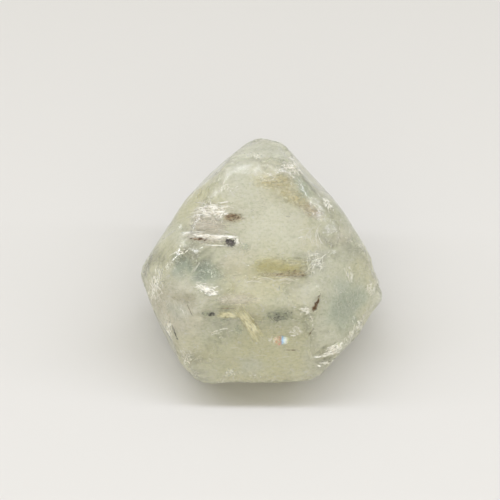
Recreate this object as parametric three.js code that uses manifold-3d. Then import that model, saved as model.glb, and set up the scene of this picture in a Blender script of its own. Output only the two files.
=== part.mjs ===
// A rough blue topaz: one worn piece of a clear, pale green-blue crystal, about the size of a walnut.
// It is a single natural stone. Flat growth and cleavage faces meet in edges that a river bed has
// rounded and chipped, and it lies on the one fresh, flat cleavage face that its underside has.
//
// Millimetres, +Z up. The front of the stone looks to -Y, its right side to +X. The origin is the
// middle of the stone's footprint box, on the surface that the stone rests on.

import * as THREE from 'three';
import { mergeVertices } from 'three/addons/utils/BufferGeometryUtils.js';
import Module from 'manifold-3d';

const wasm = await Module();
wasm.setup();

// Driving dimensions.
const HEART_HEIGHT = 10.7; // the stone's heart, from which every face is measured, above its base
const EDGE_SHARPNESS = 36; // exponent of the blend between faces: a higher one gives sharper edges
const MESH_DETAIL = 17; // how often each edge of the starting icosahedron is split
const WEAR = 0.12; // height of the low waves that wear has left in the faces

// The faces of the stone. bearing is the compass direction that a face looks to, in degrees: 0 is the
// front, 90 the right, 180 the back and 270 the left. tilt is how far it looks up from level, and
// distance is how far its plane lies from the heart.
const FACES = [
  // the broad faces that look up
  { name: 'plateau', bearing: 2, tilt: 62, distance: 11.2 },
  { name: 'front slope', bearing: 0, tilt: 28, distance: 12.9 },
  { name: 'right slope', bearing: 48, tilt: 39, distance: 14.1 },
  { name: 'left slope', bearing: 319, tilt: 22, distance: 16.9 },
  { name: 'left shoulder', bearing: 268, tilt: 50, distance: 15.7 },
  { name: 'right shoulder', bearing: 98, tilt: 50, distance: 15.4 },
  { name: 'crown', bearing: 172, tilt: 75, distance: 17.2 },
  // the faces of the girdle, from the back round by the right
  { name: 'back', bearing: 172, tilt: 34, distance: 18.8 },
  { name: 'back right', bearing: 130, tilt: 21, distance: 14.9 },
  { name: 'right', bearing: 118, tilt: 15, distance: 14.2 },
  { name: 'right corner', bearing: 85, tilt: 0, distance: 18.5 },
  { name: 'front right', bearing: 59, tilt: -20, distance: 17.9 },
  { name: 'front right undercut', bearing: 42, tilt: -28, distance: 18.3 },
  { name: 'front undercut', bearing: 3, tilt: -36, distance: 17.2 },
  { name: 'front left undercut', bearing: 310, tilt: -24, distance: 19.0 },
  { name: 'front left', bearing: 291, tilt: -14, distance: 17.8 },
  { name: 'left corner', bearing: 275, tilt: 0, distance: 18.5 },
  { name: 'left', bearing: 241, tilt: 15, distance: 14.6 },
  { name: 'back left', bearing: 223, tilt: 23, distance: 15.8 },
  // the faces of the underside
  { name: 'rear', bearing: 184, tilt: -14, distance: 15.2 },
  { name: 'left rear undercut', bearing: 246, tilt: -38, distance: 13.9 },
  { name: 'right rear undercut', bearing: 122, tilt: -40, distance: 13.7 },
  { name: 'right undercut', bearing: 76, tilt: -48, distance: 14.8 },
];

// The larger chips, each a shallow hollow with the shape of a ball's side: the direction from the
// heart in which it lies, the radius of the ball and how deep it goes.
const CHIPS = [
  { name: 'front right edge', bearing: 44, tilt: -17, radius: 11, depth: 0.7 },
  { name: 'front right edge, low', bearing: 33, tilt: -30, radius: 8, depth: 0.5 },
  { name: 'right edge', bearing: 62, tilt: -10, radius: 9, depth: 0.4 },
  { name: 'right corner', bearing: 88, tilt: 6, radius: 7, depth: 0.3 },
  { name: 'left edge', bearing: 287, tilt: -3, radius: 12, depth: 0.5 },
  { name: 'front left edge', bearing: 304, tilt: -9, radius: 10, depth: 0.5 },
  { name: 'apex', bearing: 200, tilt: 43, radius: 5, depth: 0.4 },
  { name: 'shoulder right', bearing: 128, tilt: 40, radius: 18, depth: 0.6 },
  { name: 'shoulder left', bearing: 228, tilt: 38, radius: 20, depth: 0.4 },
  { name: 'front edge', bearing: 350, tilt: -36, radius: 13, depth: 0.6 },
  { name: 'rear edge', bearing: 172, tilt: 4, radius: 22, depth: 1.1 },
  { name: 'rear left edge', bearing: 218, tilt: -12, radius: 14, depth: 0.9 },
  { name: 'rear left face', bearing: 240, tilt: 8, radius: 26, depth: 0.7 },
  { name: 'rear right edge', bearing: 134, tilt: -12, radius: 16, depth: 0.9 },
];

// The outward direction of a bearing and tilt.
function direction(bearing, tilt) {
  const b = THREE.MathUtils.degToRad(bearing);
  const t = THREE.MathUtils.degToRad(tilt);
  return new THREE.Vector3(Math.sin(b) * Math.cos(t), -Math.cos(b) * Math.cos(t), Math.sin(t));
}

// The shortest of several lengths, with the change from one to the next rounded off.
function smoothShortest(lengths) {
  const sum = lengths.reduce((total, length) => total + length ** -EDGE_SHARPNESS, 0);
  return sum ** (-1 / EDGE_SHARPNESS);
}

const planes = FACES.map((f) => ({ normal: direction(f.bearing, f.tilt), distance: f.distance }));

// How far a ray from the heart goes before it meets a face's plane.
function toPlane(ray, plane) {
  const lean = plane.normal.dot(ray);
  return lean > 0 ? plane.distance / lean : Infinity;
}

const balls = CHIPS.map((chip) => {
  const ray = direction(chip.bearing, chip.tilt);
  const surface = smoothShortest(planes.map((plane) => toPlane(ray, plane)));
  return { centre: ray.multiplyScalar(surface + chip.radius - chip.depth), radius: chip.radius };
});

// How far a ray from the heart goes before it meets the near side of a chip's ball.
function toBall(ray, ball) {
  const along = ball.centre.dot(ray);
  const inside = ball.radius ** 2 - ball.centre.lengthSq() + along ** 2;
  return inside > 0 && along > 0 ? along - Math.sqrt(inside) : Infinity;
}

// How far the worn surface is from the heart along a unit vector.
function reach(ray) {
  const lengths = [...planes.map((p) => toPlane(ray, p)), ...balls.map((b) => toBall(ray, b))];
  const waves = Math.sin(5.1 * ray.x + 2.3 * ray.z) + Math.sin(6.7 * ray.y - 3.9 * ray.x + 1)
    + Math.sin(8.3 * ray.z + 4.4 * ray.y + 2);
  return smoothShortest(lengths) + (WEAR / 3) * waves;
}

// A closed geometry as a manifold-3d solid.
function solidOf(geometry) {
  const bare = geometry.clone();
  bare.deleteAttribute('normal');
  bare.deleteAttribute('uv');
  const merged = mergeVertices(bare, 1e-4);
  return new wasm.Manifold(new wasm.Mesh({
    numProp: 3,
    vertProperties: new Float32Array(merged.attributes.position.array),
    triVerts: new Uint32Array(merged.index.array),
  }));
}

// A manifold-3d solid as a three.js geometry.
function geometryOf(solid) {
  const mesh = solid.getMesh();
  return new THREE.BufferGeometry()
    .setAttribute('position', new THREE.BufferAttribute(new Float32Array(mesh.vertProperties), 3))
    .setIndex(new THREE.BufferAttribute(new Uint32Array(mesh.triVerts), 1));
}

// The crystal before its base is cut: an icosphere pushed out to the worn surface.
function wornCrystal() {
  const ball = new THREE.IcosahedronGeometry(1, MESH_DETAIL);
  const places = ball.attributes.position;
  const ray = new THREE.Vector3();
  for (let i = 0; i < places.count; i++) {
    ray.fromBufferAttribute(places, i).normalize();
    places.setXYZ(i, ...ray.multiplyScalar(reach(ray)).toArray());
  }
  return solidOf(ball);
}

// The block of space under the cleavage face that the stone rests on.
function belowTheBase() {
  const size = 80;
  return solidOf(new THREE.BoxGeometry(size, size, size).translate(0, 0, -HEART_HEIGHT - size / 2));
}

const stone = geometryOf(wornCrystal().subtract(belowTheBase()));
stone.computeBoundingBox();
const middle = stone.boundingBox.getCenter(new THREE.Vector3());
stone.translate(-middle.x, -middle.y, HEART_HEIGHT);
stone.computeVertexNormals();

const topaz = new THREE.Mesh(stone, new THREE.MeshStandardMaterial({
  color: 0xbcc4ad,
  roughness: 0.25,
  metalness: 0,
}));
topaz.name = 'topaz_stone';

const group = new THREE.Group();
group.name = 'rough_topaz';
group.add(topaz);

export default group;
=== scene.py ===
# A rough topaz: one worn, cloudy piece of pale green crystal that lies on its one broad flat face, with
# the cracks, healed veils, iron stains and specks that are sealed in it.
import math

import bpy
import bmesh
import numpy as np
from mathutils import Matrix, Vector, noise
from mathutils.bvhtree import BVHTree


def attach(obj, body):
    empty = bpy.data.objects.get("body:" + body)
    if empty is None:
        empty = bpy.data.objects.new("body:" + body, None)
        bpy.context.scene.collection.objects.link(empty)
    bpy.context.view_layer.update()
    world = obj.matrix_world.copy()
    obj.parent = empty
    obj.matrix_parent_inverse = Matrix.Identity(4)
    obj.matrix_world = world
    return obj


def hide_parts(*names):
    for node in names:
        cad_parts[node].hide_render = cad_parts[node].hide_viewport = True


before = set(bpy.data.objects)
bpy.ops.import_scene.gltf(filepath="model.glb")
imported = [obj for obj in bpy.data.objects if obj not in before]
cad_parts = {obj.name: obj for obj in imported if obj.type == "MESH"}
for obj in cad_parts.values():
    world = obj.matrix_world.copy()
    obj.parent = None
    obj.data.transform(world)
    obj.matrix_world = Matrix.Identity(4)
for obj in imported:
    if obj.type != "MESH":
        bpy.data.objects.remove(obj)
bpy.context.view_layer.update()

mm = 0.001


# The table: a sheet of plain, slightly warm white paper, lit by a long lamp overhead and the pale
# room around it. The camera looks down on the front of the stone.
paper_tone = (0.69, 0.685, 0.68, 1)
half_paper = 450 * mm
paper_gap = 0.03 * mm  # the stone and the paper keep a surface each
room_tone = (1, 0.962, 0.8, 1)
room_strength = 0.62


def placed(name, data):
    """A new object of the data, put into the scene."""
    new = bpy.data.objects.new(name, data)
    bpy.context.scene.collection.objects.link(new)
    return new


def finish(name):
    """A new material, its node tree and its shader."""
    material = bpy.data.materials.new(name)
    material.use_nodes = True
    return material, material.node_tree, material.node_tree.nodes["Principled BSDF"]


paper_mesh = bpy.data.meshes.new("paper")
corners = [(x * half_paper, y * half_paper, -paper_gap) for x, y in ((-1, -1), (1, -1), (1, 1), (-1, 1))]
paper_mesh.from_pydata(corners, [], [(0, 1, 2, 3)])
paper = placed("paper", paper_mesh)
paper_finish, tree, shader = finish("paper")
shader.inputs["Base Color"].default_value = paper_tone
shader.inputs["Roughness"].default_value = 0.9
shader.inputs["Specular IOR Level"].default_value = 0.2
paper_mesh.materials.append(paper_finish)

room = bpy.data.worlds.new("pale room")
room.use_nodes = True
background = room.node_tree.nodes["Background"]
background.inputs["Color"].default_value = room_tone
background.inputs["Strength"].default_value = room_strength
bpy.context.scene.world = room


def add_lamp(name, place, target, width, depth, watts, tone):
    """A rectangular lamp at place that points at target; all lengths are in metres."""
    data = bpy.data.lights.new(name, "AREA")
    data.shape = "RECTANGLE"
    data.size = width
    data.size_y = depth
    data.energy = watts
    data.color = tone
    lamp = placed(name, data)
    lamp.location = place
    lamp.rotation_euler = (Vector(target) - Vector(place)).to_track_quat("-Z", "Y").to_euler()


add_lamp("long lamp", (0.03, 0.06, 0.4), (0.01, -0.42, 0), 2.0, 0.07, 3.7, (1, 1.014, 1.135))
add_lamp("front fill", (0, -0.26, 0.2), (0, -0.02, 0), 0.4, 0.16, 0.14, (1, 0.94, 0.78))

view_height = math.radians(55)
view_distance = 260 * mm
stone_middle = Vector((-1.87, 0, 10.7)) * mm
framing_rise = 2.62 * mm
toward_camera = Vector((0, -math.cos(view_height), math.sin(view_height)))
picture_up = Vector((0, math.sin(view_height), math.cos(view_height)))
camera_data = bpy.data.cameras.new("camera")
camera_data.lens = 125
camera_data.clip_start = 0.01
camera = placed("camera", camera_data)
camera.location = stone_middle + picture_up * framing_rise + toward_camera * view_distance
camera.rotation_euler = (-toward_camera).to_track_quat("-Z", "Y").to_euler()
bpy.context.scene.camera = camera
bpy.context.scene.view_settings.view_transform = "Standard"
light_paths = bpy.context.scene.cycles
light_paths.max_bounces = 40
light_paths.diffuse_bounces = 16
light_paths.glossy_bounces = 24
light_paths.transmission_bounces = 24
light_paths.transparent_max_bounces = 24
light_paths.sample_clamp_indirect = 40


# The stone itself: clear topaz, tinted pale green, with a skin that a river bed has rounded, chipped
# along the edges, pitted and frosted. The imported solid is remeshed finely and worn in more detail.
skin_grain = 0.225 * mm
weld_reach = 0.001 * mm
edge_rise = 0.16  # mm that a full edge stands proud of the evened-out skin
paper_band = 0.8  # mm above the paper over which the wear fades in


def applied(piece):
    """The piece's mesh with its modifiers applied."""
    bpy.context.view_layer.update()
    return bpy.data.meshes.new_from_object(piece.evaluated_get(bpy.context.evaluated_depsgraph_get()))


def read_points(mesh, key):
    """The place or the normal of each point of the mesh, as rows."""
    values = np.empty(len(mesh.vertices) * 3)
    mesh.vertices.foreach_get(key, values)
    return values.reshape(-1, 3)


def write_points(mesh, name, values, kind="FLOAT", key="value"):
    """Keeps a value for each point of the mesh as an attribute."""
    mesh.attributes.new(name, kind, "POINT").data.foreach_set(key, np.array(values, np.float32).ravel())


rough_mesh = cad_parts["topaz_stone"].data.copy()
welder = bmesh.new()
welder.from_mesh(rough_mesh)
bmesh.ops.remove_doubles(welder, verts=welder.verts, dist=weld_reach)
welder.to_mesh(rough_mesh)
welder.free()
rough_mesh.materials.clear()
rough_stone = placed("rough stone", rough_mesh)
remesh = rough_stone.modifiers.new("remesh", "REMESH")
remesh.mode = "VOXEL"
remesh.voxel_size = skin_grain
remesh.use_smooth_shade = True
crystal_mesh = applied(rough_stone)
bpy.data.objects.remove(rough_stone)
crystal_mesh.name = "topaz_crystal"

count = len(crystal_mesh.vertices)
places = read_points(crystal_mesh, "co") / mm
edges = np.empty(len(crystal_mesh.edges) * 2, int)
crystal_mesh.edges.foreach_get("vertices", edges)
edges = edges.reshape(-1, 2)
ends = np.concatenate([edges, edges[:, ::-1]])
neighbours = np.bincount(ends[:, 0], minlength=count)


def smoothed(values, rounds, step=0.5):
    """The values, given at each point of the skin, evened out with those of its neighbours."""
    for _ in range(rounds):
        sums = [np.bincount(ends[:, 0], values[ends[:, 1], k], count) for k in range(values.shape[1])]
        values = values + step * (np.stack(sums, 1) / neighbours[:, None] - values)
    return values


def skin_normals():
    """Moves the skin to its places as they are now, and reads its normals."""
    crystal_mesh.vertices.foreach_set("co", (places * mm).ravel())
    crystal_mesh.update()
    return read_points(crystal_mesh, "normal")


def field(points, size, seed, octaves=1):
    """Smooth noise from about -1 to 1 whose waves are about size long, in mm."""
    shift = Vector((seed * 17.3, seed * 5.9, seed * 11.1))
    spots = [Vector(p) / size + shift for p in points]
    if octaves == 1:
        return np.array([noise.noise(s) for s in spots])
    return np.array([noise.fractal(s, 0.8, 2.1, octaves) for s in spots])


def unit(vector):
    return vector / np.linalg.norm(vector)


places = smoothed(places, 5)
normals = skin_normals()
convex = np.clip(((places - smoothed(places, 60)) * normals).sum(1) / edge_rise, 0, 1)
floor_free = np.clip(places[:, 2] / paper_band, 0, 1)
random = np.random.default_rng(11)
crooked = np.stack([field(places, 1.6, seed, 2) for seed in (31, 32, 33)], 1)


def chip(centre, normal, depth, reach):
    """Takes a shallow flake with a crooked rim off the skin, depth deep at centre."""
    away = places - centre + 0.45 * reach * crooked
    height = places @ normal - centre @ normal + depth * (1 - (np.linalg.norm(away, axis=1) / reach) ** 4)
    hit = (height > 0) & (np.linalg.norm(places - centre, axis=1) < 1.6 * reach)
    places[hit] -= height[hit, None] * normal


def spots_on(chance, number):
    """Points of the skin drawn at random, each by its chance."""
    return random.choice(count, number, replace=False, p=chance / chance.sum())


high = places[:, 2] > 1.2  # in mm: the foot keeps its outline
for spot in spots_on(convex ** 2 * high, 110):
    normal = unit(normals[spot] + random.normal(0, 0.18, 3))
    chip(places[spot].copy(), normal, random.uniform(0.05, 0.18), random.uniform(0.5, 1.6))
for spot in spots_on(high * (0.1 + convex), 90):
    normal = unit(normals[spot] + random.normal(0, 0.2, 3))
    chip(places[spot].copy(), normal, random.uniform(0.03, 0.07), random.uniform(0.25, 0.5))

normals = skin_normals()
swell = 0.08 * field(places, 6, 1) + 0.018 * field(places, 2, 2) + 0.006 * field(places, 0.7, 3)
swell += 0.075 * np.sqrt(convex) * field(places, 0.6, 4, 2)
places -= normals * (swell * floor_free)[:, None]
places[:, 2] = np.maximum(places[:, 2], 0)
normals = skin_normals()

# where the skin is frosted by wear, from 0 to 1, and the bare spots where it is still smooth
bare_spots = (
    # place and reach
    ((-11.5, -5, 19.5), 2.5), ((-8.3, -5.8, 20.2), 2.2), ((12.5, -10, 12.5), 4),
    ((-6.5, -1, 22.8), 4), ((2.5, -6.3, 19.8), 4), ((-4, -12, 15), 4.5),
    ((3, -12, 15), 4), ((7.5, -10.5, 16.5), 2), ((6.5, 4.8, 24.6), 2),
    ((4, 3.6, 25), 3), ((9.5, -14.5, 9.5), 2.2),
)
frost = 0.35 + 0.3 * field(places, 3, 21, 3) + 0.6 * convex
for centre, reach in bare_spots:
    away = np.linalg.norm(places - np.array(centre) + 0.5 * crooked, axis=1)
    frost -= 0.8 * np.clip(1.6 - 1.3 * away / reach, 0, 1)
write_points(crystal_mesh, "frost", np.clip(frost, 0, 1))


def add(tree, kind, links=(), **values):
    """A new node, whose kind is short for a shader node: values set its sockets or, in lower case, its
    own settings."""
    node = tree.nodes.new(kind if "Node" in kind else "ShaderNode" + kind)
    for name, value in values.items():
        if name[0].islower():
            setattr(node, name, value)
        else:
            node.inputs[name.replace("_", " ")].default_value = value
    for source, name in links:
        tree.links.new(source, node.inputs[name])
    return node


def ranged(tree, source, low, high, from_low=0, from_high=1):
    """The source moved from its own range to the one from low to high, and held inside it."""
    values = {"From_Min": from_low, "From_Max": from_high, "To_Min": low, "To_Max": high}
    return add(tree, "MapRange", [(source, "Value")], **values).outputs["Result"]


def maths(tree, operation, *terms):
    """The result of one operation on numbers and other nodes' outputs."""
    node = add(tree, "Math", operation=operation)
    for slot, term in enumerate(terms):
        if isinstance(term, (int, float)):
            node.inputs[slot].default_value = term
        else:
            tree.links.new(term, node.inputs[slot])
    return node.outputs["Value"]


def clouded(tree, vector, scale, detail, **values):
    """Noise from 0 to 1."""
    return add(tree, "TexNoise", [(vector, "Vector")], Scale=scale, Detail=detail, **values).outputs["Fac"]


topaz, tree, shader = finish("clear topaz")
shader.inputs["Base Color"].default_value = (1, 1, 0.96, 1)
shader.inputs["IOR"].default_value = 1.62
shader.inputs["Specular IOR Level"].default_value = 0.22
frosting = add(tree, "Attribute", attribute_name="frost").outputs["Fac"]
where = add(tree, "TexCoord").outputs["Object"]
rough = maths(tree, "MULTIPLY", clouded(tree, where, 2600, 3), frosting)
bump = add(tree, "Bump", [(rough, "Height")], Strength=0.5, Distance=0.1 * mm)
tree.links.new(bump.outputs["Normal"], shader.inputs["Normal"])
tree.links.new(ranged(tree, frosting, 0.1, 0.26), shader.inputs["Roughness"])
tree.links.new(ranged(tree, frosting, 0.92, 0.77), shader.inputs["Transmission Weight"])
absorb = add(tree, "VolumeAbsorption", Color=(0.9, 0.92, 0.58, 1), Density=22)
tree.links.new(absorb.outputs["Volume"], tree.nodes["Material Output"].inputs["Volume"])

crystal_mesh.materials.append(topaz)
crystal = placed("topaz_crystal", crystal_mesh)
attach(crystal, "root")
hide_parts("topaz_stone")


# Open cleavage cracks: thin lens-shaped gaps of air just under the skin, left by knocks along the stone's one
# cleavage. Fine steps run across them from side to side. The silvery shine of the two upper cracks is a
# painted reflection in the sheets' colour, and the silvery and white sheets on the foot's lower right and on
# the cap are painted highlights; the other white is the cracks' own.
skin_faces = [tuple(face.vertices) for face in crystal_mesh.polygons]
skin_tree = BVHTree.FromPolygons([tuple(p) for p in places], skin_faces)


def sheet_under(name, centre, along, over, depth, seed, square=2, ragged=0.25, rings=12, around=72,
                ground=skin_tree):
    """A closed thin lens that follows the skin, in mm. along and over are its half-sizes as vectors, depth
    is how far under the skin it lies, and square and ragged shape its rim."""
    gap = 0.03  # at the middle of the sheet
    along, over = np.array(along, float), np.array(over, float)
    length, width = np.linalg.norm(along), np.linalg.norm(over)
    flat = [(0, 0, 0)]
    for ring in range(1, rings + 1):
        share = (ring / rings) ** 0.8
        for k in range(around):
            turn = 2 * math.pi * k / around
            c, s = math.cos(turn), math.sin(turn)
            rim = (abs(c) ** square + abs(s) ** square) ** (-1 / square)
            crooks = [noise.noise(Vector((k * c, k * s, seed))) for k in (2, 7, 19)]
            rim *= 1 + ragged * (crooks[0] + 0.7 * crooks[1] + 0.5 * crooks[2])
            flat.append((share * rim * c, share * rim * s, share))
    top, bottom = [], []
    for a, b, share in flat:
        place, normal, _, _ = ground.find_nearest(Vector(np.array(centre) + a * along + b * over))
        middle = place - normal * depth
        half = gap / 2 * math.sqrt(max(0, 1 - share ** 2))
        top.append(middle + normal * half)
        bottom.append(middle - normal * half)
    inner = 1 + (rings - 1) * around
    points = [tuple(p * mm) for p in top + bottom[:inner]]

    def under(k):
        return k + len(top) if k < inner else k

    faces = []
    for k in range(around):
        n = (k + 1) % around
        faces += [(0, 1 + k, 1 + n), (len(top), under(1 + n), under(1 + k))]
        for ring in range(rings - 1):
            a, b = 1 + ring * around + k, 1 + ring * around + n
            quad = (a, a + around, b + around, b)
            faces += [quad, tuple(under(corner) for corner in (quad[0], quad[3], quad[2], quad[1]))]
    mesh = bpy.data.meshes.new(name)
    mesh.from_pydata(points, [], faces)
    tidy = bmesh.new()
    tidy.from_mesh(mesh)
    bmesh.ops.recalc_face_normals(tidy, faces=tidy.faces)
    tidy.to_mesh(mesh)
    tidy.free()
    mesh.shade_smooth()
    spread = np.array(flat + flat[:inner])
    flow = spread * (length, width, 1) + (5.1 * seed, 3.7 * seed, 0)
    write_points(mesh, "flow", flow, "FLOAT_VECTOR", "vector")
    piece = placed(name, mesh)
    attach(piece, "root")
    return piece


def toned(tree, source, tones):
    """The colour that a ramp of (share, colour) gives the source."""
    ramp = add(tree, "ValToRGB", [(source, "Fac")])
    stops = ramp.color_ramp.elements
    stops.remove(stops[1])
    stops[0].position = tones[0][0]
    stops[0].color = (*tones[0][1], 1)
    for share, colour in tones[1:]:
        stops.new(share).color = (*colour, 1)
    return ramp.outputs["Color"]


def streaked(name, tones, streak, cover, roughness, edge, most=1):
    """A finish of streaks that run along the sheet: tones is a ramp of (share, colour), streak the
    length and width of one in mm, cover the noise at which the film starts and is whole, edge where
    it thins out toward the rim, and most how much it hides where it is whole."""
    material, tree, shader = finish(name)
    flow = add(tree, "Attribute", attribute_name="flow").outputs["Vector"]
    scale = (1 / streak[0], 1 / streak[1], 0)
    drawn = add(tree, "Mapping", [(flow, "Vector")], Scale=scale).outputs["Vector"]
    moved = add(tree, "Mapping", [(drawn, "Vector")], Location=(31, 17, 5)).outputs["Vector"]
    tone = clouded(tree, drawn, 1, 4, Roughness=0.6, Distortion=0.4)
    film = clouded(tree, moved, 1, 4, Roughness=0.65, Distortion=0.6)
    whole = ranged(tree, film, 0, most, *cover)
    rim = ranged(tree, add(tree, "SeparateXYZ", [(flow, "Vector")]).outputs["Z"], 1, 0, *edge)
    bump = add(tree, "Bump", [(tone, "Height")], Strength=0.5, Distance=0.1 * mm)
    tree.links.new(toned(tree, tone, tones), shader.inputs["Base Color"])
    tree.links.new(maths(tree, "MULTIPLY", whole, rim), shader.inputs["Alpha"])
    tree.links.new(bump.outputs["Normal"], shader.inputs["Normal"])
    shader.inputs["Roughness"].default_value = roughness
    return material


def lay_sheets(sheets, material):
    """Sheets of one finish, by name: centre, along, over, depth, seed and, for some, the rim's shape."""
    for name, (centre, along, over, depth, seed, *rim) in sheets.items():
        piece = sheet_under(name, centre, along, over, depth, seed, **(rim[0] if rim else {}))
        piece.data.materials.append(material)


# painted reflection: these silvery tones stand for the mirror shine of the air gaps, painted into the sheets'
# colour
painted_shine_tones = [(0.36, (0.6, 0.54, 0.46)), (0.47, (0.9, 0.86, 0.76)), (0.56, (1, 0.99, 0.94))]
painted_silver_shine = streaked("silver crack", painted_shine_tones, (1.5, 0.15), (0.47, 0.56), 0.3, edge=(0.4, 1))
# the white sheets are the cracks' own chalky white, except the two on the foot's lower right, which are
# painted highlights
chalk_tones = [(0.34, (0.8, 0.78, 0.68)), (0.5, (1, 0.99, 0.95))]
chalk_and_painted_highlight = streaked("white crack and painted highlight", chalk_tones, (0.9, 0.2), (0.36, 0.46), 0.3, edge=(0.5, 1))
tangled_tones = [(0.38, (0.62, 0.65, 0.54)), (0.5, (0.97, 0.97, 0.88)), (0.6, (1, 1, 0.97))]
tangled = streaked("tangled crack", tangled_tones, (0.35, 0.2), (0.5, 0.6), 0.3, edge=(0.3, 1))

lay_sheets({
    # all four shine by painted colour: a painted reflection on the two cracks, painted highlights on the
    # foot's steps and a painted sparkle on the cap's steps
    "crack_upper_painted_shine": ((-7.3, 0.9, 23.6), (2.3, 0, 0), (0, 0.9, 0.5), -0.01, 3),
    "crack_bar_painted_shine": ((-8.4, -2.4, 22), (3.9, -0.3, 0.1), (0, 0.34, 0.18), -0.01, 8),
    "painted_highlight_steps_foot": ((10.2, -14.2, 10.4), (1, 0.5, 0.2), (-0.2, 0.3, 0.6), -0.01, 12),
    "painted_sparkle_steps_cap": ((4.2, 7.2, 25.9), (0.9, 0.4, -0.2), (-0.4, 0.7, 0.05), -0.01, 13, {"ragged": 0.9}),
}, painted_silver_shine)
lay_sheets({
    "tangled_crack_cap": ((-1.5, 9.2, 26.4), (1.8, -0.3, 0), (0.2, 0.9, 0), -0.01, 21),
    "tangled_crack_right": ((9.2, 3.3, 22.5), (1, 0.3, -0.3), (-0.3, 1.1, 0.3), -0.01, 22),
    "tangled_crack_left": ((-14.6, -6.5, 17.2), (0.7, -0.7, 0.2), (-0.6, -0.9, -1.4), -0.01, 23),
    "tangled_crack_foot": ((-4.5, -16.1, 7), (1, 0, 0), (0, 0.4, 0.65), -0.01, 24, {"ragged": 0.6}),
    "tangled_crack_shoulder": ((7.3, -5, 20.2), (1.3, 0.3, 0.2), (-0.3, 1.2, 0.7), -0.01, 25),
    "tangled_crack_low_left": ((-13.7, -11.2, 11.4), (0.5, -0.5, 0.2), (-0.4, -0.8, -1.5), -0.01, 26),
    "tangled_crack_edge": ((14.2, -10.2, 10.6), (0.7, 0.9, 0.3), (-0.4, -0.3, 1.1), -0.01, 27),
    "tangled_crack_wing": ((12.4, -5.5, 16.7), (0.3, 0.1, 0), (-0.1, 0.6, 0.7), -0.01, 28),
}, tangled)
lay_sheets({
    "white_streak_left": ((-10.6, -1.5, 21.6), (1.45, -0.7, 0.3), (0.1, 0.2, 0.1), -0.01, 31),
    "white_streak_bar": ((-5.5, -2.4, 22), (2, -0.1, 0), (0, 0.27, 0.14), -0.015, 32, {"ragged": 0.4}),
    "white_chip": ((-8.2, -9.1, 18.4), (1, -0.3, -0.15), (0.2, 0.35, 0.25), -0.02, 33, {"ragged": 0.6}),
    "white_chip_low": ((-7.2, -9.6, 18), (0.8, 0.1, 0), (0, 0.2, 0.16), -0.015, 34, {"ragged": 0.6}),
    # painted highlights: the two white sheets on the foot's lower right
    "painted_highlight_streak_foot": ((8, -14.95, 9.45), (0.8, 0, 0.03), (0, 0.08, 0.16), -0.015, 36),
    "painted_highlight_chip_foot": ((8.2, -15.6, 8.1), (0.4, 0, -0.1), (0, 0.1, 0.2), -0.015, 38),
    "white_dash_top": ((3.6, 0.3, 23.3), (0.35, 0, 0), (0, 0.07, 0.04), -0.015, 39),
    "white_dash_mid": ((5.4, -2.4, 21.9), (0.45, 0.15, 0), (0, 0.12, 0.06), -0.015, 40),
    "white_dash_band": ((-1.2, -7.45, 19.1), (0.38, 0, 0), (0, 0.06, 0.035), -0.012, 41),
    "white_line_bevel": ((-13.6, -0.35, 19.7), (1.1, 0.25, 1), (0.03, 0.1, 0), -0.012, 50),
    "white_line_bar_low": ((-6.6, -3.5, 21.4), (2.4, -0.1, 0), (0, 0.07, 0.04), -0.012, 56),
    "white_line_upper": ((-8.75, 2.45, 23.4), (1.05, -0.65, 0.6), (0.04, 0.07, 0.03), -0.012, 44),
    "white_line_shoulder": ((-7.5, 1.65, 23.8), (1.9, -0.45, 0.4), (0, 0.07, 0.04), -0.012, 45),
    "white_line_steep": ((-7.5, 1.75, 24.05), (0.1, -0.85, -0.35), (0.07, 0, 0), -0.012, 46),
    "white_line_long": ((-9.6, 0.75, 22.7), (1.4, -0.25, 0.75), (0, 0.07, 0.04), -0.012, 47),
    "white_line_cluster": ((-6.35, 0.85, 23.7), (1.15, -0.05, 0), (0, 0.12, 0.06), -0.012, 48),
    "white_line_bar_left": ((-9.35, -1.75, 22.3), (1.15, -0.05, 0.1), (0, 0.07, 0.04), -0.012, 49),
    "white_line_window": ((-9.5, -6.3, 20), (0.65, 0.9, 0.5), (0.06, -0.04, 0), 0.02, 42),
}, chalk_and_painted_highlight)


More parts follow.
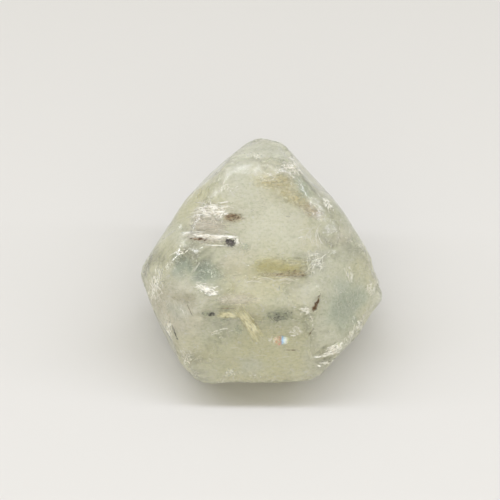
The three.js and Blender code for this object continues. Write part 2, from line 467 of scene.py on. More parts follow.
# The milk: knocks and healed cracks have clouded the stone with fine white veils that follow its skin, a
# fraction of a millimetre down. Each zone has its own tint, and a few windows between them are clear.
white, mist, sage = (0.998, 0.988, 0.87), (0.985, 0.99, 0.9), (0.98, 0.982, 0.84)
cream, peach, yellow = (0.998, 0.974, 0.81), (0.998, 0.955, 0.83), (0.985, 0.965, 0.75)
blue, pink = (0.88, 0.945, 0.85), (0.995, 0.955, 0.89)
olive, teal, warm = (0.84, 0.85, 0.7), (0.8, 0.9, 0.8), (0.998, 0.97, 0.76)
zones = (
    # place, size, tint and how much it hides
    ((0, 1, 24), 9, white, 0.98), ((0, 9, 26.5), 6.5, mist, 0.97),
    ((-10, 4, 22.5), 5, (0.955, 0.935, 0.68), 0.94), ((1.5, 5, 25.6), 4, cream, 0.97),
    ((6.5, 4.8, 24.6), 2, blue, 0.6), ((-8, -0.6, 22.9), 3, pink, 0.95),
    ((-15.5, -4.5, 18.8), 5, (0.93, 0.915, 0.71), 0.95), ((-8.4, -6.9, 19.6), 2.1, teal, 0.36),
    ((-11.7, -6, 19.3), 1.5, teal, 0.48), ((-3.5, -5.5, 20.3), 2.6, peach, 0.97),
    ((7.2, -5.2, 20.1), 2.2, mist, 0.75), ((7.4, -2.2, 21.9), 2.8, cream, 0.97),
    ((11, 4, 21.8), 5, olive, 0.93), ((6.8, 7, 23.4), 3, olive, 0.9),
    ((13.2, -0.5, 18.8), 4.6, olive, 0.93), ((11.4, -1, 20.8), 2.4, (0.965, 0.925, 0.82), 0.95),
    ((9.3, 0.4, 22.5), 3.2, (0.82, 0.82, 0.62), 0.94), ((14.5, -4, 14.5), 4, yellow, 0.92),
    ((12.4, -8.8, 14), 4.4, blue, 0.72), ((15, -9, 10.2), 3, cream, 0.95),
    ((0, -9.3, 18), 7, warm, 0.98), ((5, -9.4, 17.6), 3, white, 0.97),
    ((-13, -10.5, 14.5), 5.5, peach, 0.96), ((-12.3, -10.6, 15), 1.8, mist, 0.8),
    ((2, -11.8, 15.2), 3, sage, 0.85), ((-5, -12.6, 13.6), 2.6, mist, 0.8),
    ((-4.5, -14.5, 10), 3.6, sage, 0.8), ((3, -14, 11), 4, warm, 0.96),
    ((0, -16, 6.5), 9, (0.955, 0.93, 0.66), 0.95), ((9, -14.3, 9.5), 3.5, white, 0.92),
    ((-11, -13.5, 9), 4, warm, 0.95), ((-2, -15.5, 8), 2.5, sage, 0.85),
    ((-12, 9, 12), 7, cream, 0.93), ((13, 9, 12), 7, mist, 0.9),
    ((0, 14, 18), 6, sage, 0.88), ((0, 16, 6), 8, yellow, 0.93),
    ((-8, 13, 17), 3, blue, 0.6), ((14, 4, 15), 4, white, 0.95),
)


def milk_at(points):
    """The tint of the milk and how much it hides, at each point."""
    drift = np.stack([field(points, 2.2, seed, 2) for seed in (41, 42, 43)], 1)
    tints = np.full((len(points), 4), (*sage, 0.9))
    for place, size, tone, hides in zones:
        away = np.linalg.norm(points - np.array(place) + 1.1 * drift, axis=1)
        share = np.clip(1.5 - 1.25 * away / size, 0, 1)[:, None]
        tints += share * share * (3 - 2 * share) * (np.array((*tone, hides)) - tints)
    return tints


def multiplied(tree, first, second):
    """The product of two colours; 6 and 7 are the mix node's colour sockets."""
    mix = add(tree, "Mix", [(first, 6), (second, 7)], data_type="RGBA", blend_type="MULTIPLY", Factor=1)
    return mix.outputs[2]


milk, tree, shader = finish("milky veil")
where = add(tree, "TexCoord").outputs["Object"]
mottle = clouded(tree, where, 2200, 3, Roughness=0.6)
mottled = toned(tree, mottle, [(0.36, (0.84, 0.86, 0.81)), (0.52, (1, 1, 1))])
level = add(tree, "Mapping", [(where, "Vector")], Scale=(1400, 4500, 3600)).outputs["Vector"]
threads = clouded(tree, level, 1, 3, Roughness=0.7, Distortion=0.5)
threaded = toned(tree, threads, [(0.38, (0.86, 0.87, 0.83)), (0.52, (1, 1, 1))])
tint = add(tree, "Attribute", attribute_name="milk").outputs
shade = multiplied(tree, tint["Color"], multiplied(tree, mottled, threaded))
hair = clouded(tree, where, 600, 3, Roughness=0.5, Distortion=1.8)
thin = maths(tree, "ABSOLUTE", maths(tree, "SUBTRACT", hair, 0.5))
broken = ranged(tree, mottle, 0, 1, 0.46, 0.6)
line = maths(tree, "MULTIPLY", ranged(tree, thin, 1, 0, 0.008, 0.022), broken)
colour = add(tree, "Mix", [(line, "Factor"), (shade, 6)], data_type="RGBA")
colour.inputs[7].default_value = (1, 1, 0.98, 1)
tree.links.new(colour.outputs[2], shader.inputs["Base Color"])
tree.links.new(maths(tree, "MAXIMUM", tint["Alpha"], line), shader.inputs["Alpha"])
shader.inputs["Roughness"].default_value = 0.6

calm_skin = smoothed(places, 60)  # rounded over the edges and chips, so that no veil folds over itself
calm_tree = BVHTree.FromPolygons([tuple(p) for p in calm_skin], skin_faces)
veils = {
    # name: (place, half-width, half-height, depth under the skin)
    "veil_top": ((0, 0.5, 24.2), 12, 10, 0.34),
    "veil_cap": ((0, 9.5, 25.8), 8, 6.5, 0.4),
    "veil_left_bevel": ((-11, 3, 21.5), 9, 9.5, 0.37),
    "veil_left_face": ((-12.6, -9.5, 15), 9.5, 10, 0.4),
    "veil_front_top": ((0, -9, 18), 12.5, 6, 0.43),
    "veil_front": ((0, -14.6, 10), 12.5, 9, 0.46),
    "veil_right_face": ((12, -9, 13.5), 9.5, 11, 0.37),
    "veil_right_bevel": ((12.5, 1, 19), 8.5, 11, 0.43),
    "veil_left_side": ((-16.5, 0, 10), 11, 9.5, 0.46),
    "veil_right_side": ((16.5, 2, 8), 11, 8, 0.49),
    "veil_back_top": ((0, 13, 19), 12, 9, 0.34),
    "veil_back_left": ((-11, 10, 12), 10, 10.5, 0.52),
    "veil_back_right": ((12, 10, 12), 10, 10.5, 0.55),
    "veil_back_foot": ((0, 15.5, 6.5), 13, 8, 0.4),
    "veil_shoulder_left": ((-5.5, 12, 23), 6, 6, 0.46),
    "veil_shoulder_right": ((6.6, 10.8, 23), 6, 6, 0.49),
    "veil_front_foot": ((0, -15, 3), 12, 5.5, 0.52),
    "veil_left_foot": ((-12, -10, 4), 9, 6, 0.55),
    "veil_right_foot": ((12.5, -9.5, 5), 9.5, 6.5, 0.58),
    "veil_left_low": ((-15.5, 3, 3.5), 11, 5, 0.34),
    "veil_right_low": ((15.5, 3, 3.5), 11, 5.5, 0.37),
}
for number, (name, (place, wide, tall, depth)) in enumerate(veils.items()):
    place, normal, _, _ = calm_tree.find_nearest(Vector(place))
    along = Vector((0, 0, 1)).cross(normal)
    along = along.normalized() if along.length > 0.15 else Vector((1, 0, 0))
    over = normal.cross(along).normalized() * tall
    piece = sheet_under(name, place, along * wide, over, depth, 101 + number, square=2.6, rings=28,
                        around=110, ground=calm_tree)
    flow = np.empty(len(piece.data.vertices) * 3, np.float32)
    piece.data.attributes["flow"].data.foreach_get("vector", flow)
    tints = milk_at(read_points(piece.data, "co") / mm)
    tints[:, 3] *= np.clip((1 - flow.reshape(-1, 3)[:, 2]) / 0.3, 0, 1)
    write_points(piece.data, "milk", tints, "FLOAT_COLOR", "color")
    piece.data.materials.append(milk)


# Hairline cracks: swarms of short curved slivers of air that break out at the skin where it was knocked. The
# white slivers on the foot's lower right and on the cap are painted highlights, and most grey slivers are
# painted shade.
# Geometry Nodes scatter them over small patches of skin; each patch says which way its hairs run.
hair_patches = (
    # place, half-sizes along and over, run of the hairs, fan in radians, hairs per square mm, length
    ((-8.8, 1.2, 23.3), (1.9, 0, 0), (0, 1, 0.5), (1, 0, 0), 0.35, 4.5, 1.2),
    ((-6.6, 0.6, 23.6), (1.5, 0, 0), (0, 1.2, 0.6), (0.3, 1, 0.5), 1, 4.5, 0.9),
    ((-6, 1.7, 24), (1.7, 0, 0), (0, 0.6, 0.3), (1, 0, 0), 0.3, 4, 1.2),
    ((-9.8, -1.9, 21.6), (2.4, -0.7, 0.3), (0.1, 0.4, 0.2), (1, -0.25, 0.1), 0.15, 4, 1.5),
    ((-3.4, -3.1, 21.6), (0.55, 0, 0), (0, 0.6, 0.3), (0.3, 1, 0.5), 1, 8, 0.68),
    ((-7, -3.2, 21.5), (2.2, 0, 0), (0, 0.2, 0.1), (1, 0, 0), 0.5, 3.2, 0.54),
    ((-12.2, -4.2, 20.8), (1.6, 0.2, 0.1), (0, 0.3, 0.15), (1, 0, 0), 0.3, 2, 1.1),
    ((-0.9, 9.2, 26.5), (1.8, 0, 0), (0, 0.9, 0), (0.5, 1, 0), 1.3, 4, 0.68),
    # painted sparkle: the two patches on the cap's right
    ((4, 7, 26.1), (1.8, -0.9, -0.2), (0.9, 1.6, 0.1), (1, -0.4, 0), 0.9, 2.2, 0.9),
    ((5, 8.6, 25), (1.2, -1.2, -0.5), (0.4, 0.8, 0), (1, 0.3, 0), 0.4, 3.6, 1.1),
    ((2.9, 5.9, 25.8), (1.6, 0, 0), (0, 0.6, 0.1), (1, 0.2, 0), 0.8, 3.2, 0.61),
    ((9.3, 3.4, 22.5), (1.1, 0.3, -0.4), (-0.4, 1.4, 0.4), (0.3, 1, 0), 0.7, 3.2, 0.94),
    ((8.3, -6.1, 19.6), (0.6, 0.3, 0.2), (-0.1, 0.4, 0.2), (1, 0.6, 0.3), 0.4, 6.4, 0.68),
    ((-8.2, -9, 18.4), (1.8, -0.4, -0.2), (0.3, 0.6, 0.5), (1, -0.2, 0), 0.6, 4.8, 0.81),
    ((-15.4, -7.2, 16.4), (1.1, -0.8, 0.1), (-0.7, -1.4, -2.2), (0.1, -0.4, -1), 0.8, 2.8, 1.1),
    ((-13.8, -11, 11.6), (0.6, -0.6, 0.2), (-0.3, -0.9, -1.8), (0.3, -0.4, -1), 1, 4.8, 0.68),
    ((-6, -13, 13), (1.6, 0, 0), (0, 0.3, 0.5), (1, 0, 0.2), 0.5, 2.4, 1.2),
    ((-3, -16.2, 6.9), (2.8, -0.2, 0), (0, 0.6, 0.95), (1, 0, 0), 1.5, 2.5, 0.5),
    ((6.2, -11.3, 16.1), (0.9, 0, -0.1), (0, 0.3, 0.5), (1, 0, 0.3), 1, 5.6, 0.81),
    ((4.6, -12.9, 13.2), (0.9, 0, 0), (0, 0.5, 0.8), (0.3, 0, 1), 1.5, 5.6, 0.54),
    ((7.2, -11.9, 14.9), (0.3, 0.1, 0), (-0.1, 0.7, 0.9), (0.3, 0.5, 1), 1.2, 4.8, 0.54),
    # painted highlights: the three patches on the foot's lower right
    ((9.5, -14.7, 9.6), (1.6, 0.4, 0.1), (0, 0.15, 0.3), (1, 0.2, 0.1), 0.15, 4, 1.4),
    ((10.4, -14.1, 10.5), (1.3, 0.7, 0.2), (-0.2, 0.3, 0.7), (1, 0.6, 0.6), 0.3, 6.4, 0.94),
    ((9.4, -15.2, 8.4), (1.3, 0.5, 0), (0, 0.15, 0.3), (1, 0.3, 0.1), 1, 5.6, 0.54),
    ((13.2, -11.6, 10.9), (1.9, 2, 0.2), (-0.3, -0.3, 0.8), (0.5, 0, 1), 0.4, 3.6, 0.81),
    ((15.6, -8.2, 11), (0.9, 1.6, 0.6), (-0.4, -0.3, 0.8), (0.8, 0.2, 0.6), 0.5, 3.2, 0.68),
    ((16.2, -5.6, 13.4), (0.5, 0.7, 0.3), (-0.5, -0.4, 1), (1, 0.3, 0.6), 0.8, 4.8, 0.68),
    ((12.4, -5.6, 16.6), (0.5, 0.3, 0), (-0.3, 1, 1.2), (-0.2, 0.6, 1), 0.3, 3.2, 1.1),
    ((-10.5, 5.5, 22.4), (2, 1.2, -0.2), (-0.6, 0.8, 0.2), (1, 0.7, 0), 0.6, 1.2, 0.94),
)


per_mm2 = 1e6  # one per square mm, counted per square metre


def patch_mesh(patches):
    """One mesh of small skin patches; each point carries its patch's run, fan, crowd and reach."""
    steps = 9
    points, faces, runs, fans, crowds, reaches = [], [], [], [], [], []
    for centre, along, over, run, fan, crowd, reach in patches:
        first = len(points)
        for row in range(steps):
            for column in range(steps):
                a, b = 2 * column / (steps - 1) - 1, 2 * row / (steps - 1) - 1
                spot = np.array(centre) + a * np.array(along) + b * np.array(over)
                points.append(skin_tree.find_nearest(Vector(spot))[0] * mm)
                runs.append(run)
                fans.append(fan)
                crowds.append(crowd * per_mm2 * max(0, 1 - a * a) * max(0, 1 - b * b) * 2)
                reaches.append(reach * mm)
        for row in range(steps - 1):
            for column in range(steps - 1):
                k = first + row * steps + column
                quad = [k, k + 1, k + steps + 1, k + steps]
                middle = (points[k] + points[k + steps + 1]) / 2
                normal = (points[k + 1] - points[k]).cross(points[k + steps] - points[k])
                outward = skin_tree.find_nearest(middle / mm)[1]
                faces.append(quad if normal.dot(outward) > 0 else quad[::-1])
    mesh = bpy.data.meshes.new("patches")
    mesh.from_pydata([tuple(p) for p in points], [], faces)
    write_points(mesh, "run", runs, "FLOAT_VECTOR", "vector")
    for name, values in (("fan", fans), ("crowd", crowds), ("reach", reaches)):
        write_points(mesh, name, values)
    return mesh


def scatter_tree(name):
    """A tree that strews curved slivers over the ground: thickness and bow are shares of their length."""
    tree = bpy.data.node_groups.new(name, "GeometryNodeTree")
    tree.interface.new_socket("Ground", in_out="INPUT", socket_type="NodeSocketGeometry")
    tree.interface.new_socket("Slivers", in_out="OUTPUT", socket_type="NodeSocketGeometry")
    kinds = {"Thickness": "Float", "Bow": "Float", "Depth": "Float", "Seed": "Int", "Finish": "Material"}
    for label, kind in kinds.items():
        tree.interface.new_socket(label, in_out="INPUT", socket_type="NodeSocket" + kind)

    def kept(label, kind="FLOAT"):
        return add(tree, "GeometryNodeInputNamedAttribute", data_type=kind, Name=label).outputs["Attribute"]

    def chance(low, high, offset):
        """A random number for each sliver, from low to high; each offset gives other draws."""
        own_seed = maths(tree, "ADD", seed, offset)
        draw = add(tree, "FunctionNodeRandomValue", [(own_seed, "Seed")], data_type="FLOAT")
        for label, term in (("Min", low), ("Max", high)):
            socket = next(s for s in draw.inputs if s.name == label and s.enabled)
            if isinstance(term, float):
                socket.default_value = term
            else:
                tree.links.new(term, socket)
        return next(s for s in draw.outputs if s.enabled)

    given = add(tree, "NodeGroupInput").outputs
    seed = given["Seed"]
    strewn = add(tree, "GeometryNodeDistributePointsOnFaces",
                 [(given["Ground"], "Mesh"), (kept("crowd"), "Density"), (seed, "Seed")]).outputs
    down = maths(tree, "MULTIPLY", given["Depth"], -1)
    sunk = add(tree, "VectorMath", [(strewn["Normal"], "Vector"), (down, "Scale")], operation="SCALE")
    lowered = add(tree, "GeometryNodeSetPosition",
                  [(strewn["Points"], "Geometry"), (sunk.outputs["Vector"], "Offset")])
    bend = add(tree, "CombineXYZ", [(given["Bow"], "Y")])
    arc = add(tree, "GeometryNodeCurveQuadraticBezier", [(bend.outputs["Vector"], "Middle")],
              Resolution=5, Start=(-0.5, 0, 0), End=(0.5, 0, 0))
    along = add(tree, "GeometryNodeSplineParameter").outputs["Factor"]
    onward = maths(tree, "SUBTRACT", 1, along)
    taper = maths(tree, "MULTIPLY", maths(tree, "MULTIPLY", along, onward), 4)
    shaped = add(tree, "GeometryNodeSetCurveRadius",
                 [(arc.outputs["Curve"], "Curve"), (maths(tree, "ADD", taper, 0.08), "Radius")])
    section = add(tree, "GeometryNodeCurvePrimitiveCircle", [(given["Thickness"], "Radius")], Resolution=4)
    sliver = add(tree, "GeometryNodeCurveToMesh",
                 [(shaped.outputs["Curve"], "Curve"), (section.outputs["Curve"], "Profile Curve")],
                 Fill_Caps=True)
    upright = add(tree, "FunctionNodeAlignRotationToVector", [(strewn["Normal"], "Vector")], axis="Z")
    aligned = add(tree, "FunctionNodeAlignRotationToVector",
                  [(upright.outputs["Rotation"], "Rotation"), (kept("run", "FLOAT_VECTOR"), "Vector")],
                  axis="X", pivot_axis="Z")
    fan = kept("fan")
    swing = chance(maths(tree, "MULTIPLY", fan, -1), fan, 1)
    turn = add(tree, "FunctionNodeAxisAngleToRotation", [(swing, "Angle")], Axis=(0, 0, 1))
    turned = add(tree, "FunctionNodeRotateRotation",
                 [(aligned.outputs["Rotation"], "Rotation"), (turn.outputs["Rotation"], "Rotate By")],
                 rotation_space="LOCAL")
    length = maths(tree, "MULTIPLY", kept("reach"), chance(0.35, 1.15, 2))
    spread = add(tree, "GeometryNodeInstanceOnPoints",
                 [(lowered.outputs["Geometry"], "Points"), (sliver.outputs["Mesh"], "Instance"),
                  (turned.outputs["Rotation"], "Rotation"), (length, "Scale")])
    real = add(tree, "GeometryNodeRealizeInstances", [(spread.outputs["Instances"], "Geometry")])
    dressed = add(tree, "GeometryNodeSetMaterial",
                  [(real.outputs["Geometry"], "Geometry"), (given["Finish"], "Material")])
    add(tree, "NodeGroupOutput", [(dressed.outputs["Geometry"], "Slivers")])
    return tree


strewing = scatter_tree("strewn slivers")


def strew(name, ground, material, thickness, bow, seed, depth=0):
    """Slivers of one finish strewn over the ground mesh, as one plain mesh; depth is in mm."""
    piece = placed(name, ground)
    modifier = piece.modifiers.new("slivers", "NODES")
    modifier.node_group = strewing
    sockets = {item.name: item.identifier for item in strewing.interface.items_tree if item.in_out == "INPUT"}
    given = {"Thickness": thickness, "Bow": bow, "Depth": depth * mm, "Seed": seed, "Finish": material}
    for label, value in given.items():
        modifier[sockets[label]] = value
    mesh = applied(piece)
    piece.modifiers.clear()
    piece.data = mesh
    mesh.name = name
    mesh.materials.clear()
    mesh.materials.append(material)
    for attribute in ("run", "fan", "crowd", "reach"):
        if attribute in mesh.attributes:
            mesh.attributes.remove(mesh.attributes[attribute])
    mesh.shade_smooth()
    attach(piece, "root")


def hair_finish(name, scale, tones, roughness):
    """A finish for slivers, whose colour changes along them."""
    material, tree, shader = finish(name)
    cloud = clouded(tree, add(tree, "TexCoord").outputs["Object"], scale, 2)
    tree.links.new(toned(tree, cloud, tones), shader.inputs["Base Color"])
    shader.inputs["Roughness"].default_value = roughness
    return material


# the white slivers are the pale faces of small cracks; on the foot's lower right and on the cap they are
# painted highlights
hairline = hair_finish("white hairline and painted highlight", 2500, [(0.35, (0.86, 0.83, 0.72)), (0.5, (1, 0.99, 0.94))], 0.3)
arc_patches = (
    ((7.6, -5.6, 19.9), (1.5, 0.2, 0.2), (-0.3, 1.4, 0.8), (0.6, 1, 0.6), 0.9, 2, 1.8),
    ((7, -2.4, 21.6), (1.8, 0.2, 0.2), (-0.3, 1.6, 0.8), (0.6, 1, 0.5), 0.9, 1.4, 2),
    ((1.5, -8, 18.8), (4.5, 0, 0), (0, 0.5, 0.3), (1, 0, 0), 0.15, 1, 2.4),
    ((-7.5, -2, 22.2), (4, -0.4, 0), (0, 0.8, 0.4), (1, -0.15, 0), 0.15, 1, 2),
    ((0, -14.6, 9.5), (6, 0, 0), (0, 1.2, 2.2), (1, 0, 0), 0.5, 0.35, 1.6),
    ((12, -8, 14.5), (2.5, 2, -0.5), (-0.6, 1.2, 2), (0, 0.5, 1), 0.5, 0.6, 1.6),
    ((-12.8, -9.5, 15), (2.5, -2.5, 0.3), (-0.6, -1, -2.5), (0.3, -0.5, -1), 0.6, 0.6, 1.6),
    ((12.4, -9.3, 13.4), (2.4, 2, -0.2), (-0.6, 0.9, 2.2), (0.4, 0.3, 1), 0.8, 2.4, 0.9),
    ((-9.6, -7, 19.4), (2.6, -0.3, 0), (0.2, 1, 0.6), (1, 0.2, 0), 0.8, 1.6, 0.9),
)
grain_patches = (
    ((-3.7, -3, 21.7), (0.5, 0, 0), (0, 0.6, 0.3), (0.3, 1, 0.5), 1, 14, 0.45),
    ((-6.5, 1, 23.75), (1.6, 0, 0), (0, 0.9, 0.45), (1, 0.2, 0), 0.8, 4, 0.55),
    ((-9.4, -2.1, 22), (2.2, -0.4, 0.1), (0, 0.3, 0.15), (1, 0, 0), 0.4, 5, 0.5),
    ((-4.9, 4.2, 25.4), (1.4, 0, 0), (0, 0.7, 0.3), (1, 0.4, 0), 1, 3, 0.45),
    ((6, -11.3, 16.2), (0.8, 0, -0.1), (0, 0.35, 0.5), (1, 0, 0.3), 1.2, 11, 0.42),
    ((4.6, -12.9, 13.2), (0.9, 0, 0), (0, 0.5, 0.8), (0.3, 0, 1), 1.5, 8, 0.38),
    ((7, -11.9, 15), (0.3, 0.1, 0), (-0.1, 0.7, 0.9), (0.3, 0.5, 1), 1.2, 8, 0.35),
    # painted highlights: the two patches on the foot's lower right
    ((10.6, -14, 10.6), (1.3, 0.7, 0.2), (-0.2, 0.3, 0.7), (1, 0.6, 0.6), 0.5, 8, 0.6),
    ((9.5, -15.2, 8.4), (1.3, 0.5, 0), (0, 0.15, 0.3), (1, 0.3, 0.1), 1, 8, 0.4),
    ((16, -5.8, 13.3), (0.5, 0.8, 0.3), (-0.5, -0.4, 1.2), (1, 0.3, 0.6), 0.6, 6, 0.36),
    ((13.6, -11.1, 11), (1.8, 1.9, 0.2), (-0.3, -0.3, 0.8), (0.5, 0, 1), 0.8, 2.5, 0.45),
    ((-4.7, -16.1, 7), (0.8, 0, 0), (0, 0.4, 0.7), (1, 0, 0), 1.5, 6, 0.3),
    ((-1.3, -16.4, 6.4), (1.2, 0, 0), (0, 0.25, 0.4), (1, 0, 0), 1.5, 5, 0.3),
    ((-13.8, -11.2, 11.4), (0.6, -0.6, 0.2), (-0.35, -1, -1.9), (0.3, -0.4, -1), 1, 6, 0.4),
    ((-11.4, -14.4, 8.8), (0.9, -0.7, 0.1), (-0.4, -0.7, -1.6), (0.6, -0.4, -1), 1.2, 5, 0.38),
    # painted sparkle on the cap
    ((4, 7.1, 26.1), (1.9, -0.9, -0.2), (0.9, 1.6, 0.1), (1, -0.4, 0), 1.2, 4.5, 0.38),
    ((-1, 9.2, 26.5), (1.5, 0, 0), (0, 0.9, 0), (0.5, 1, 0), 1.3, 5, 0.4),
    ((9.3, 3.2, 22.5), (1, 0.3, -0.4), (-0.4, 1.3, 0.4), (0.3, 1, 0), 0.8, 5, 0.45),
    ((-15.8, -7, 16), (0.9, -0.8, 0.1), (-0.6, -1.2, -2.2), (0.1, -0.4, -1), 0.8, 5, 0.5),
    ((8, -6, 19.6), (0.9, 0.2, 0.2), (-0.2, 0.8, 0.4), (1, 0.5, 0.3), 1, 4, 0.42),
    ((-8.2, -9.1, 18.4), (1.6, -0.35, -0.2), (0.25, 0.55, 0.45), (1, -0.2, 0), 0.7, 8, 0.55),
    # painted sparkle on the cap
    ((5.2, 8.2, 24.6), (0.5, -0.9, -0.5), (0.3, 0.8, -0.7), (1, -0.5, 0), 1.3, 4.5, 0.36),
    ((12.8, -5.2, 16.7), (0.3, 0.1, -0.1), (-0.2, 0.7, 0.75), (-0.1, 0.5, 0.8), 0.5, 9, 0.4),
    ((15.9, -5.6, 13.6), (0.6, 0.8, 0.1), (-0.5, -0.1, 1.1), (0.4, 0.6, 0.2), 0.5, 6, 0.3),
    ((1.5, -13.6, 11.9), (0.9, 0, 0), (0, 0.25, 0.5), (1, 0, 0.3), 1.3, 9, 0.34),
    ((13.7, -10.3, 11.7), (0.6, 0.6, 0), (-0.5, 0.6, 1.5), (0.2, 0, 1), 0.7, 3, 0.42),
    ((-12.1, -4.3, 20.7), (1.2, -0.1, 0.4), (0.1, 0.5, 0.2), (1, 0, 0.2), 0.6, 4, 0.45),
    ((-7.2, -7.2, 19.4), (0.2, 0, 0), (0, 0.4, 0.22), (0.2, 1, 0.5), 0.4, 20, 0.36),
    ((5, -12.9, 13.1), (0.9, 0, 0), (0, 0.5, 0.9), (0.4, 0.4, 1), 1.5, 4, 0.36),
)
strew("white_hairlines_and_painted_highlights", patch_mesh(hair_patches), hairline, 0.042, bow=0.16, seed=5,
      depth=0.012)
strew("white_grains_and_painted_sparkles", patch_mesh(grain_patches), hairline, 0.13, bow=0.2, seed=10)
strew("white_arcs", patch_mesh(arc_patches), hairline, 0.018, bow=0.22, seed=8, depth=0.02)


def skin_ground(run, fan, crowds, reach):
    """The whole skin as a ground to strew on: crowds is hairs per square mm at each point."""
    ground = crystal_mesh.copy()
    ground.materials.clear()
    write_points(ground, "run", np.tile(run, count), "FLOAT_VECTOR", "vector")
    for name, values in (("fan", fan), ("crowd", crowds * per_mm2), ("reach", reach * mm)):
        write_points(ground, name, np.broadcast_to(values, count))
    return ground


# painted shade: the grey slivers are dark lines beside the white ones, where the cracks look dark; some grey
# grains also mark real specks of the smudges
shade_line = hair_finish("grey sliver and painted shade", 1500, [(0.35, (0.26, 0.29, 0.2)), (0.6, (0.6, 0.62, 0.46))], 0.5)

above = np.clip((places[:, 2] - 2) / 2, 0, 1)
worn = np.clip(0.3 + field(places, 3, 61, 2), 0, 1)
crazed = np.clip(0.25 + 0.9 * field(places, 4, 62, 2), 0, 1) * above
at_edges = convex ** 2 * worn * above
crazings = {
    # name: run, fan, hairs per square mm, length, finish, thickness, seed and depth
    "edge_hairlines": ((0.3, 0.2, 1), 1.5, 6.5 * at_edges, 0.5, hairline, 0.055, 15, 0.015),
    # painted shade: the grey slivers along the edges and in the crazing
    "edge_shade": ((0.3, 0.2, 1), 1.5, 3.5 * at_edges, 0.5, shade_line, 0.055, 18, 0.02),
    "pale_crazing": ((1, 0.1, 0.1), 0.9, 4 * crazed, 0.5, hairline, 0.045, 16, 0.04),
    "painted_shade_crazing": ((1, 0.1, 0.1), 0.9, 3.6 * crazed, 0.45, shade_line, 0.042, 17, 0.04),
}
for name, (run, fan, crowds, reach, material, thickness, seed, depth) in crazings.items():
    ground = skin_ground(run, fan, crowds, reach)
    strew(name, ground, material, thickness, bow=0.12, seed=seed, depth=depth)
# the first three patches mark grey specks of the smudges; the others, on the foot's lower right, the white
# chip, the upper silvery crack and the cap, are painted shade beside the white
grey_patches = (
    ((2.3, -11.75, 15.5), (2.1, 0, 0), (0, 0.5, 0.95), (0.3, 0.4, 1), 1.2, 14, 0.36),
    ((-7.9, -11.5, 15.6), (1.1, 0, 0), (0, 0.2, 0.4), (1, 0, 0), 0.8, 12, 0.3),
    ((-2.5, -3.9, 21.2), (0.8, 0, 0), (0, 0.6, 0.3), (0.3, 1, 0.5), 0.8, 6, 0.35),
    ((10.6, -14, 10.6), (1.2, 0.7, 0.2), (-0.2, 0.3, 0.6), (1, 0.6, 0.6), 0.3, 6, 0.6),
    ((-8.2, -9.4, 18.1), (1.6, -0.2, -0.2), (0.2, 0.3, 0.3), (1, -0.2, 0), 0.6, 4, 0.5),
    ((-7.2, 1, 23.6), (2.4, 0, 0), (0, 1.2, 0.6), (1, 0.1, 0), 0.7, 1.5, 0.6),
    ((3.6, 7.4, 26.1), (1.8, -0.9, -0.2), (0.9, 1.6, 0.1), (1, -0.4, 0), 1, 6, 0.5),
)
strew("grey_grains_and_painted_shade", patch_mesh(grey_patches), shade_line, 0.09, bow=0.15, seed=6, depth=0.01)


# Cleavage cracks that water has got into: a thin film of cream or peach clay has dried on their faces.
clay_tones = [(0.34, (0.94, 0.88, 0.8)), (0.46, (0.98, 0.94, 0.87)), (0.6, (1, 0.985, 0.93))]
clay = streaked("clay film", clay_tones, (1, 0.2), (0.3, 0.55), 0.5, edge=(0, 1))
ivory_tones = [(0.38, (0.46, 0.42, 0.24)), (0.47, (0.74, 0.7, 0.46)), (0.6, (0.88, 0.86, 0.65))]
ivory = streaked("cream film", ivory_tones, (0.9, 0.16), (0.3, 0.46), 0.4, edge=(0.45, 1), most=0.9)
lay_sheets({
    "clay_film_upper": ((-7.9, -0.8, 22.7), (3.1, 0, 0), (0, 0.95, 0.5), 0.1, 51,
                        {"square": 4, "ragged": 0.4}),
    "clay_film_bar": ((-7.4, -2.7, 21.8), (3.9, -0.2, 0), (0, 0.7, 0.36), 0.05, 52, {"square": 4}),
    "clay_film_flat": ((-3.5, -10.2, 17.5), (3.4, 0, 0), (0, 0.8, 0.7), 0.1, 53),
    "clay_film_peach": ((-5.7, -10.4, 17.4), (0.85, 0, 0), (0, 0.5, 0.6), 0.05, 54),
}, clay)
lay_sheets({
    "cream_line_band": ((1.9, -7.5, 19.1), (2.9, 0, 0), (0, 0.035, 0.02), -0.01, 43, {"square": 4}),
    "cream_bar_flat": ((-5.1, -11.6, 15.6), (1.5, 0, 0), (0, 0.27, 0.52), -0.01, 61,
                       {"square": 5, "ragged": 0.3}),
    "cream_bar_slanting": ((-2, -12.3, 14.4), (1.5, -1.2, -2.2), (0.82, 0.25, 0.42), -0.01, 62,
                           {"square": 5, "ragged": 0.3}),
}, ivory)


# A rainbow crack: one thin gap of air near the front is so narrow that it splits the light into colours,
# orange at its left end and blue-white at its right. These colours are painted into the film's base colour, a
# painted rainbow reflection.
rainbow, tree, shader = finish("rainbow crack")
flow = add(tree, "Attribute", attribute_name="flow").outputs["Vector"]
parts = add(tree, "SeparateXYZ", [(flow, "Vector")]).outputs
wander = add(tree, "Mapping", [(flow, "Vector")], Scale=(1.2, 7, 0)).outputs["Vector"]
drift = ranged(tree, clouded(tree, wander, 1, 3), -0.4, 0.4)
share_along = ranged(tree, maths(tree, "ADD", parts["X"], drift), 0, 1, -1.6, 1.6)
painted_rainbow_colours = [
    (0, (0.9, 0.84, 0.6)), (0.18, (1, 0.95, 0.8)), (0.26, (0.98, 0.52, 0.32)), (0.33, (1, 0.9, 0.7)),
    (0.41, (0.95, 0.36, 0.26)), (0.47, (0.9, 0.7, 0.75)), (0.53, (0.32, 0.6, 1)), (0.62, (0.8, 0.96, 1)),
    (0.7, (1, 1, 1)), (0.79, (0.92, 1, 0.7)), (1, (0.95, 0.85, 0.5)),
]
tree.links.new(toned(tree, share_along, painted_rainbow_colours), shader.inputs["Base Color"])
rim = ranged(tree, parts["Z"], 1, 0, 0.3, 1)
torn = ranged(tree, clouded(tree, wander, 1.3, 3), 0, 1, 0.47, 0.56)
